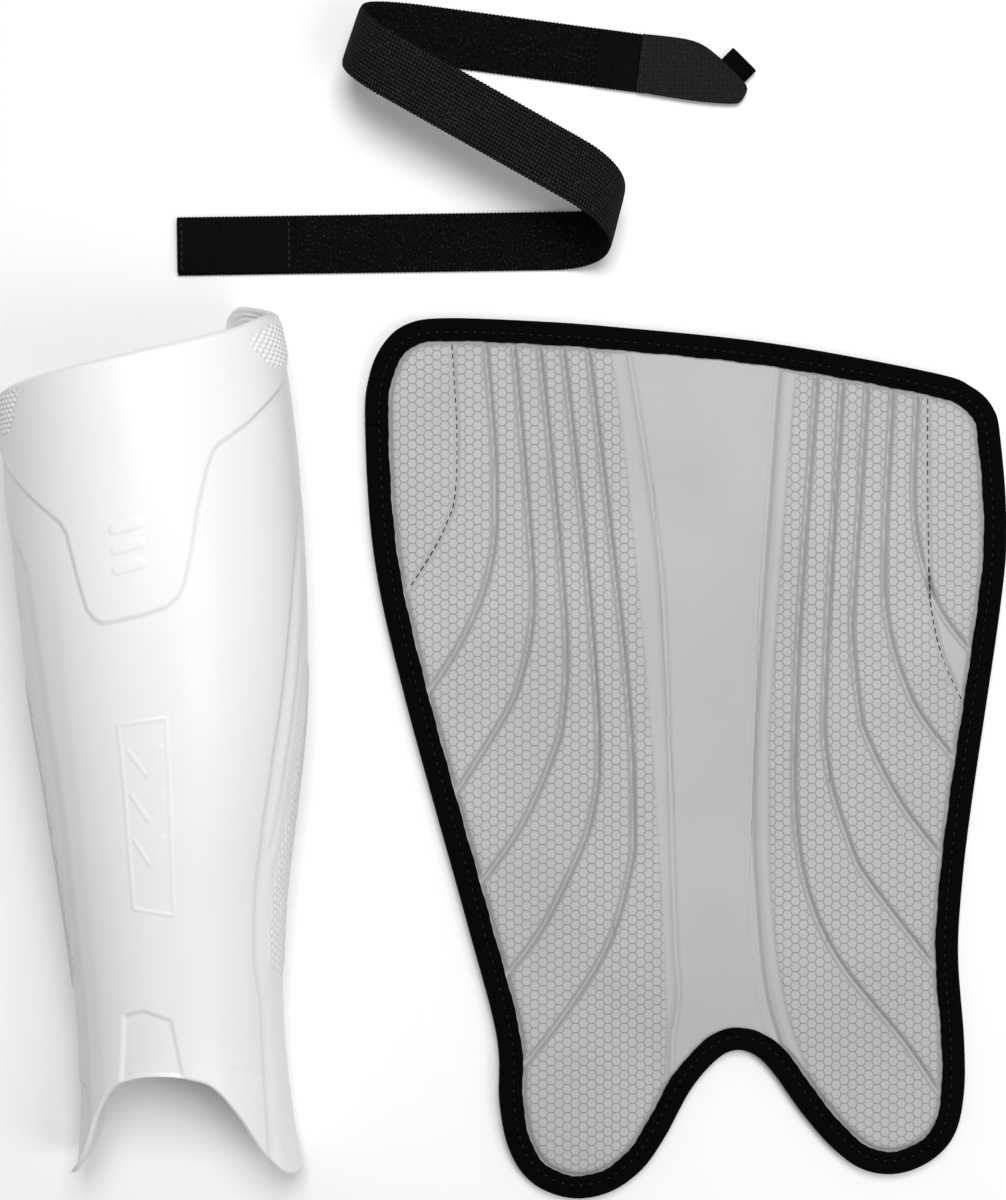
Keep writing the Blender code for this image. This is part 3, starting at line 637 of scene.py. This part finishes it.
def foam_height(x, y, depth):
    """The foam's upper face, and how strongly its cells show; depth is the distance from the edge."""
    def near(lines, reach):
        return np.minimum.reduce([distance_to(x, y, smooth_curve(line, 5), reach) for line in lines])

    def between(lines):
        """How far each point lies to the right of the first line, and to the left of the second."""
        left, right = (smooth_curve(line, 5)[::-1] for line in lines)
        return x - np.interp(y, left[:, 1], left[:, 0]), np.interp(y, right[:, 1], right[:, 0]) - x

    walls = near(CHANNEL_WALLS, 16)
    grooves = near(LEFT_GROOVES + RIGHT_GROOVES, 8)
    past_left, past_right = between(CHANNEL_WALLS)
    in_channel = (past_left > 0) & (past_right > 0)
    share = np.clip((grooves - 0.3) / 1.9, 0, 1)
    swell = 1 + 0.03 * np.sin(0.31 * x + 0.9) * np.sin(0.17 * y) + 0.02 * np.sin(0.11 * x * y / 30)
    floor = GROOVE_FLOOR - 0.7 * np.exp(-np.maximum(depth - TAPE_LIP, 0) / 2.2) * rise(y - 55, 15)
    pillow = floor + (PILLOW_TOP - floor) * (1 - (1 - share) ** 3) * swell
    seams = near(PATCH_SEAMS, 4)
    pillow -= 1.5 * np.exp(-(seams / 0.7) ** 2)
    past_cells = np.minimum(*between(CELL_EDGES))
    border = BORDER_TOP - 0.5 * np.exp(-(walls / 0.8) ** 2)
    pillow = np.minimum(pillow, border + (PILLOW_TOP + 0.3 - BORDER_TOP) * rise(-past_cells, 2.0))
    channel = (CHANNEL_FLOOR + (BORDER_TOP - 0.5 - CHANNEL_FLOOR) * (1 - rise(walls, 1.6))
               - 0.45 * np.exp(-((walls - 1.9) / 0.75) ** 2) + 0.25 * np.exp(-((walls - 3.6) / 0.9) ** 2)
               + 0.12 * np.sin(0.05 * y + 0.1 * x))
    height = np.where(in_channel, channel, pillow)
    past_tape = np.maximum(depth - TAPE_LIP - 0.45, 0)
    cap = FOAM_UNDER_TAPE + (PILLOW_TOP - FOAM_UNDER_TAPE) * (1 - np.exp(-past_tape / 0.9))
    cells = (rise(-past_cells, 1.5) * rise(grooves - 0.7, 0.9) * rise(seams - 0.8, 1.0)
             * rise(depth - TAPE_LIP - 0.6, 1.0) * ~inside(x, y, np.array(SMOOTH_WEDGE)))
    return softened(np.minimum(height, cap)), cells


def softened(height):
    """Each point of a grid averaged with its four neighbours along each axis in turn."""
    for axis in (0, 1):
        height = (np.roll(height, 1, axis) + 2 * height + np.roll(height, -1, axis)) / 4
    return height


def build_foam(look):
    outline = smooth_curve(LINER_OUTLINE, 6, closed=True)
    low, high = outline.min(0) - 1, outline.max(0) + 1
    xs, ys = (np.arange(low[k], high[k], FOAM_STEP) for k in (0, 1))
    x, y = np.meshgrid(xs, ys, indexing="ij")
    depth = distance_to(x, y, np.vstack([outline, outline[:1]]), 20) * np.where(inside(x, y, outline), 1, -1)
    top, cells = foam_height(x, y, depth)
    kept = depth > FOAM_HIDDEN
    cell_kept = kept[:-1, :-1] & kept[1:, :-1] & kept[1:, 1:] & kept[:-1, 1:]
    index = np.arange(x.size).reshape(x.shape)
    corners = np.stack([index[:-1, :-1], index[1:, :-1], index[1:, 1:], index[:-1, 1:]], -1)
    zone = zone_of((x[:-1, :-1] + x[1:, 1:]) / 2, (y[:-1, :-1] + y[1:, 1:]) / 2)
    surface = np.stack([x, y, top], -1).reshape(-1, 3)
    names = ["left_outer", "left_inner", "centre", "right_inner", "right_outer"]
    for rank, name in enumerate(names):
        quads = corners[cell_kept & (zone == rank)]
        made = foam_piece("liner_foam_" + name, quads, surface, cells.ravel(), look)
        hold_in_zone(made, rank)
        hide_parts("foam_" + name)


def foam_piece(name, quads, surface, cells, look):
    """A closed piece of foam under some of the upper face's cells."""
    used, packed = np.unique(quads, return_inverse=True)
    quads = packed.reshape(quads.shape)
    count = len(used)
    upper = surface[used]
    lower = upper.copy()
    lower[:, 2] = FOAM_BACK
    edges = np.stack([quads, np.roll(quads, -1, axis=1)], -1).reshape(-1, 2)
    keys = edges[:, 0] * count + edges[:, 1]
    border = edges[~np.isin(keys, edges[:, 1] * count + edges[:, 0])]
    sides = np.stack([border[:, 1], border[:, 0], border[:, 0] + count, border[:, 1] + count], -1)
    faces = np.concatenate([quads, quads[:, ::-1] + count, sides])
    shown = np.concatenate([cells[used], np.zeros(count)])
    return mesh_object(name, np.concatenate([upper, lower]), [faces], [look], {"cells": shown}, crease=72)


def inwards(curve):
    """Unit normals that point into a clockwise closed curve."""
    along = np.roll(curve, -1, axis=0) - np.roll(curve, 1, axis=0)
    along /= np.linalg.norm(along, axis=1)[:, None]
    return np.stack([along[:, 1], -along[:, 0]], -1)


def tape_section():
    """The folded tape's section as (distance in from its edge, height), the stitched groove included."""
    middle = TAPE_TOP / 2
    outside = [(TAPE_LIP, 0.15), (7.6, 0), (1.8, 0), (0.75, 0.45), (0.2, 1.4), (0, middle),
               (0.2, TAPE_TOP - 1.4), (0.75, TAPE_TOP - 0.45), (1.8, TAPE_TOP),
               (3.4, TAPE_TOP + 0.1), (4.5, TAPE_TOP - 0.1),
               (SEAM_DEPTH, TAPE_TOP - 0.35), (5.7, TAPE_TOP - 0.1), (6.8, TAPE_TOP), (7.8, TAPE_TOP - 0.15),
               (TAPE_LIP, TAPE_TOP - 0.4)]
    inside_face = [(7.8, TAPE_TOP - TAPE), (2.1, TAPE_TOP - TAPE), (TAPE, middle + 1.2), (TAPE, middle - 1.2),
                   (2.1, TAPE), (7.8, TAPE)]
    return np.array(outside + inside_face)


BINDING_SPLIT_Y = -40  # the inner zones' binding is a top piece above it and a low piece below it
# The binding piece at each zone and level of the outline.
BINDING_PARTS = {
    (0, "side"): "left_side", (1, "top"): "left_top", (2, "top"): "centre_top", (3, "top"): "right_top",
    (4, "side"): "right_side", (3, "low"): "right_foot", (2, "low"): "notch", (1, "low"): "left_foot"}


def build_binding(look, thread):
    curve, along = even_curve(smooth_curve(LINER_OUTLINE, 12, closed=True), 0.8, closed=True)
    normal = inwards(curve)
    section = tape_section()
    lip = 0.12 * np.sin(along * 0.37) + 0.06 * np.sin(along * 1.3 + 1)
    pucker = 0.10 * np.sin(along * 2 * pi / SEAM_PITCH)
    depth = section[None, :, 0] + lip[:, None] * rise(section[None, :, 0] - 5.5, 2.5)
    by_seam = np.exp(-((section[None, :, 0] - SEAM_DEPTH) / 1.6) ** 2)
    height = section[None, :, 1] + pucker[:, None] * by_seam * (section[None, :, 1] > TAPE_TOP - 0.6)
    rings = np.concatenate([curve[:, None, :] + depth[..., None] * normal[:, None, :], height[..., None]], -1)
    round_section = np.cumsum(np.linalg.norm(np.diff(section, axis=0, prepend=section[:1]), axis=1))
    weave = np.stack(np.broadcast_arrays(along[:, None], round_section[None, :], 0.0), -1)
    anchor = curve + 4 * normal
    zone = zone_of(anchor[:, 0], anchor[:, 1])
    level = np.where(anchor[:, 1] > BINDING_SPLIT_Y, "top", "low")
    level = np.where((zone == 0) | (zone == 4), "side", level)
    for (rank, where), part in BINDING_PARTS.items():
        chosen = np.flatnonzero((zone == rank) & (level == where))
        gap = np.flatnonzero(np.diff(chosen) > 1)
        chosen = np.roll(chosen, -(gap[0] + 1)) if len(gap) else chosen
        chosen = np.append(chosen, (chosen[-1] + 1) % len(curve))
        points = rings[chosen].reshape(-1, 3)
        made = mesh_object("binding_tape_" + part, points, ring_faces(len(chosen), len(section)), [look],
                           {"weave": weave[chosen].reshape(-1, 3)})
        hold_in_zone(made, rank)
        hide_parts("binding_" + part)
        seam = curve[chosen] + SEAM_DEPTH * normal[chosen]
        line = np.column_stack([seam, np.full(len(chosen), TAPE_TOP - 0.2)])
        sewn = stitches("binding_stitches_" + part, line, SEAM_PITCH, 1.1, 0.17, thread)
        hold_in_zone(sewn, rank)


def stitches(name, line, pitch, length, radius, look):
    """A row of short thread capsules along a line of points."""
    path, _ = even_curve(line, pitch / 8)
    middles = path[4:-4:8]
    ahead = path[5:-3:8] - path[3:-5:8]
    ahead /= np.linalg.norm(ahead, axis=1)[:, None]
    across = np.stack([-ahead[:, 1], ahead[:, 0], np.zeros(len(ahead))], -1)
    up = np.array([0.0, 0.0, 1.0])
    turns = np.arange(6) * pi / 3
    points = []
    for reach, thick in ((-0.5, 0.35), (-0.3, 1.0), (0.3, 1.0), (0.5, 0.35)):
        centre = middles + ahead * reach * length
        ring = (across[:, None, :] * np.cos(turns)[None, :, None] + up * np.sin(turns)[None, :, None])
        points.append(centre[:, None, :] + ring * radius * thick)
    points = np.stack(points, 1).reshape(-1, 3)
    sides, ends = ring_faces(4, 6)
    start = np.arange(len(middles))[:, None, None] * 24
    faces = [(sides[None] + start).reshape(-1, 4), (ends[None] + start).reshape(-1, 6)]
    return mesh_object(name, points, faces, [look])


PATCH_SEAM_HEIGHT = 6.75  # the stitches lie in the seam's dip in the foam


def build_patch_seams(thread):
    outline = smooth_curve(LINER_OUTLINE, 6, closed=True)
    closed = np.vstack([outline, outline[:1]])
    for side, line, body in zip(("left", "right"), PATCH_SEAMS, ("liner_left_outer", "liner_right_outer")):
        curve, _ = even_curve(smooth_curve(line, 5), 0.5)
        shown = distance_to(curve[:, 0], curve[:, 1], closed, 12) > TAPE_LIP + 0.6
        curve = curve[shown & inside(curve[:, 0], curve[:, 1], outline)]
        points = np.column_stack([curve, np.full(len(curve), PATCH_SEAM_HEIGHT)])
        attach(stitches(f"patch_stitches_{side}", points, 3.0, 2.2, 0.27, thread), body)


# ---------------------------------------------------------------- strap

STRAP_WIDTH, STRAP_THICK, LOOP_RADIUS = 20.0, 1.6, 17.0
NEAR_END = np.array([-117.0, 121.6])
RIGHT_FOLD = (np.array([14.1, 123.5]), np.array([18.3, 139.8]))
LEFT_FOLD = (np.array([-42.3, 173.9]), np.array([-35.3, 194.9]))
FAR_END = np.array([44.6, 184.2])
ABOVE = STRAP_THICK + 0.3  # underside of what is sewn on top of the webbing
END_PATCH_LENGTH, END_PATCH_SEAM = 40.0, 1.6  # its length, and how far in from its ends it is sewn
STRAP_STITCH = (2.4, 1.7, 0.25)  # pitch, length and radius
TAB_UPPER_EDGE = [(42.8, 194.2), (60, 191.8), (69.3, 185.9), (77.8, 177.2), (78.3, 174)]
TAB_LOWER_EDGE = [(40.4, 174.4), (59, 171.4), (73, 170.2), (76.5, 171.2), (78.3, 174)]
PULL_BASE = (np.array([70.0, 185.7]), np.array([77.9, 177.8]))


def unit(vector):
    return vector / np.linalg.norm(vector)


def across_of(heading):
    across = np.array([-heading[1], heading[0]])
    return across if across[1] > 0 else -across


def flat_run(start, end, height, crease_before, crease_after, count):
    """Centres and half widths of a flat run; near a fold its cross lines turn to the fold's crease."""
    heading = unit(end - start)
    square = across_of(heading)
    t = np.linspace(0, 1, count)[:, None]
    length = np.linalg.norm(end - start)
    half = np.repeat(square[None, :], count, 0)
    for crease, gone in ((crease_before, t * length), (crease_after, (1 - t) * length)):
        if crease is not None:
            half = half + (crease / crease.dot(square) - square) * rise(14 - gone, 14)
    centre = start + (end - start) * t
    return np.column_stack([centre, np.full(count, height)]), np.column_stack([half * STRAP_WIDTH / 2, 0 * t])


def open_fold(start, end, crease, outward, heading, rising, count):
    """A half turn about the crease: it leaves one run and meets the next in their own headings."""
    turn = np.linspace(0, pi, count)[:, None]
    slope = LOOP_RADIUS * heading.dot(crease) / heading.dot(outward)
    further = (end - start).dot(crease) - slope * pi
    sideways = slope * turn + further * rise(turn, pi)
    centre = start + crease * sideways + outward * LOOP_RADIUS * np.sin(turn)
    lift = LOOP_RADIUS * (1 - np.cos(turn)) if rising else LOOP_RADIUS * (1 + np.cos(turn))
    half = crease / crease.dot(across_of(heading)) * STRAP_WIDTH / 2
    return np.column_stack([centre, STRAP_THICK / 2 + lift]), np.repeat([[*half, 0.0]], count, 0)


def crease_of(first, second):
    """The crease between two headings, pointing to the knee end."""
    between = unit(first - second)
    crease = np.array([-between[1], between[0]])
    return crease if crease[1] > 0 else -crease


def strap_runs():
    """The five stretches of the strap, each as centres and half widths."""
    near = unit(RIGHT_FOLD[0] - NEAR_END)
    middle = unit(LEFT_FOLD[0] - RIGHT_FOLD[1])
    far = unit(FAR_END - LEFT_FOLD[1])
    right_crease, left_crease = crease_of(near, middle), crease_of(middle, far)
    right_out = np.array([right_crease[1], -right_crease[0]])
    left_out = -np.array([left_crease[1], -left_crease[0]])
    low, high = STRAP_THICK / 2, STRAP_THICK / 2 + 2 * LOOP_RADIUS
    return {
        "near": flat_run(NEAR_END, RIGHT_FOLD[0], low, None, right_crease, 440),
        "right_fold": open_fold(*RIGHT_FOLD, right_crease, right_out, near, True, 200),
        "middle": flat_run(RIGHT_FOLD[1], LEFT_FOLD[0], high, right_crease, left_crease, 240),
        "left_fold": open_fold(*LEFT_FOLD, left_crease, left_out, middle, False, 200),
        "far": flat_run(LEFT_FOLD[1], FAR_END, low, left_crease, None, 280)}


def ribbon(name, centres, halves, thick, look, before=None, after=None, start=0.0, ribs=0.0,
           samples=41):
    """A band of webbing. Its upper and lower faces follow the centres; `before` and `after` are the
    neighbouring centres, so that the faces of two stretches meet without a kink."""
    padded = np.vstack([centres[:1] if before is None else before, centres,
                        centres[-1:] if after is None else after])
    tangent = padded[2:] - padded[:-2]
    up = np.cross(tangent, halves)
    up /= np.linalg.norm(up, axis=1)[:, None]
    u = np.linspace(-1, 1, samples)
    width = 2 * np.linalg.norm(halves, axis=1).mean()
    swell = thick / 2 * np.sqrt(1 - abs(u) ** 9 * 0.92)
    ripple = ribs * (0.5 - 0.5 * np.cos(2 * pi * u * width / 2 / 1.25))
    along = start + np.concatenate([[0], np.cumsum(np.linalg.norm(np.diff(centres, axis=0), axis=1))])
    scallop = 1 + ribs * 0.12 * np.cos(2 * pi * along / 1.3)
    sideways = (halves * scallop[:, None])[:, None] * u[:, None]
    upper = centres[:, None] + sideways + up[:, None] * swell[:, None]
    lower = centres[:, None] + sideways - up[:, None] * (swell - ripple)[:, None]
    rings = np.concatenate([upper, lower[:, ::-1]], 1)
    across = np.concatenate([u, u[::-1]]) * width / 2
    face = np.concatenate([np.ones(samples), -np.ones(samples)])
    weave = np.stack(np.broadcast_arrays(along[:, None], across[None, :], face[None, :]), -1)
    points = rings.reshape(-1, 3)
    return mesh_object(name, points, ring_faces(len(centres), 2 * samples), [look],
                       {"weave": weave.reshape(-1, 3)})


def build_webbing(look):
    runs = strap_runs()
    names = list(runs)
    start = 0.0
    made = {}
    for rank, name in enumerate(names):
        centres, halves = runs[name]
        before = runs[names[rank - 1]][0][-2:-1] if rank else None
        after = runs[names[rank + 1]][0][1:2] if rank + 1 < len(names) else None
        made[name] = ribbon("webbing_" + name, centres, halves, STRAP_THICK, look, before, after, start,
                            ribs=0.12)
        length = np.linalg.norm(np.diff(centres, axis=0), axis=1).sum()
        start += length
        length *= MM
    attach(made["near"], "strap_near")
    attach(made["middle"], "strap_middle")
    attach(made["far"], "strap_far")
    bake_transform(made["right_fold"])
    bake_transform(made["left_fold"])
    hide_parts("strap_near_run")
    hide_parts("strap_middle_run")
    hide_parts("strap_far_run")


def band_between(upper_edge, lower_edge, height, count):
    """Centres and half widths of a flat band between two edges."""
    upper, lower = (even_curve(smooth_curve(edge, 8), 0.05)[0] for edge in (upper_edge, lower_edge))
    pick = [edge[np.linspace(0, len(edge) - 1, count).round().astype(int)] for edge in (upper, lower)]
    centres, halves = (pick[0] + pick[1]) / 2, (pick[0] - pick[1]) / 2
    zeros = np.zeros((count, 1))
    return np.hstack([centres, zeros + height]), np.hstack([halves, zeros])


def build_strap_ends(looks):
    near = unit(RIGHT_FOLD[0] - NEAR_END)
    side = across_of(near) * (STRAP_WIDTH / 2 - 0.6)
    patch = band_between([NEAR_END + side, NEAR_END + side + near * END_PATCH_LENGTH],
                         [NEAR_END - side, NEAR_END - side + near * END_PATCH_LENGTH], ABOVE + 0.45, 60)
    end_patch = ribbon("end_patch", *patch, 0.9, looks["loop"])
    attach(end_patch, "strap_near")
    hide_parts("strap_end_patch")

    strip = band_between([(28.2, 196.1), (42.1, 194.2)], [(25.9, 176.5), (39.8, 174.6)], ABOVE + 0.25, 24)
    loop_strip = ribbon("loop_strip", *strip, 0.5, looks["loop"])
    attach(loop_strip, "strap_far")
    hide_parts("strap_loop_strip")

    tab_line = band_between(TAB_UPPER_EDGE, TAB_LOWER_EDGE, ABOVE + 0.65, 80)
    tab = ribbon("tab", tab_line[0][:-1], tab_line[1][:-1], 1.3, looks["hook"])
    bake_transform(tab)
    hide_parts("hook_tab")

    first, second = PULL_BASE
    outward = unit(np.array([first[1] - second[1], second[0] - first[0]]))
    # The loop's section, as (how far it stands out from the tab, height).
    reach = [(-2.0, 0.42), (0.2, 0.35), (1.8, 0.22), (3.6, 0.2), (4.9, 0.25), (5.25, 0.55),
             (4.9, 0.88), (3.6, 0.95), (1.8, 0.9), (0.2, 0.85), (-2.0, 0.85)]
    path = smooth_curve(reach, 6)
    middle, half = (first + second) / 2, (first - second) / 2
    centres = np.array([[*(middle + outward * out), ABOVE + up] for out, up in path])
    halves = np.repeat([[*half, 0.0]], len(path), 0)
    pull = ribbon("pull_tape_loop", centres, halves, 0.4, looks["tape"], samples=21)
    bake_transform(pull)
    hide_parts("pull_loop")

    for name, place in (("near_end", END_PATCH_LENGTH - END_PATCH_SEAM), ("near_tip", END_PATCH_SEAM)):
        line = np.array([[*(NEAR_END + near * place + side * k), ABOVE + 0.95] for k in (-0.92, 0.92)])
        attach(stitches("stitches_" + name, line, *STRAP_STITCH, looks["thread"]), "strap_near")
    line = np.array([[43.6, 192.8, ABOVE + 1.35], [41.6, 175.8, ABOVE + 1.35]])
    sewn = stitches("stitches_tab", line, *STRAP_STITCH, looks["thread"])
    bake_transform(sewn)


def dress_frame(hook, loop):
    """The pads on the shell's and the liner's reverse keep their own shape."""
    for name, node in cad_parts.items():
        if name.startswith("hook_pad"):
            node.material_slots[0].material = hook
        elif name.endswith(("loop_patch", "loop_pad")):
            node.material_slots[0].material = loop


def add_floor():
    corner, under = 30000.0, -0.2
    points = np.array([(x * corner, y * corner, under) for x, y in ((-1, -1), (1, -1), (1, 1), (-1, 1))])
    mesh_object("floor", points, [np.array([[0, 1, 2, 3]])], [floor_look()])


add_camera()
add_studio()
add_floor()
looks = {"tape": tape_look(), "thread": thread_look(), "elastic": elastic_look(),
         "loop": fastener_look("loop_fastener", (0.0025, 0.0025, 0.0026), 1.1, 0.25, False),
         "hook": fastener_look("hook_fastener", (0.010, 0.010, 0.0105), 1.5, 0.1, False)}
build_shell(shell_look())
build_foam(foam_look())
build_binding(looks["tape"], looks["thread"])
build_patch_seams(looks["thread"])
build_webbing(looks["elastic"])
build_strap_ends(looks)
dress_frame(fastener_look("hook_pads", (0.010, 0.010, 0.0105), 1.5, 0.1, True),
            fastener_look("loop_pads", (0.0035, 0.0035, 0.0036), 1.1, 0.25, True))
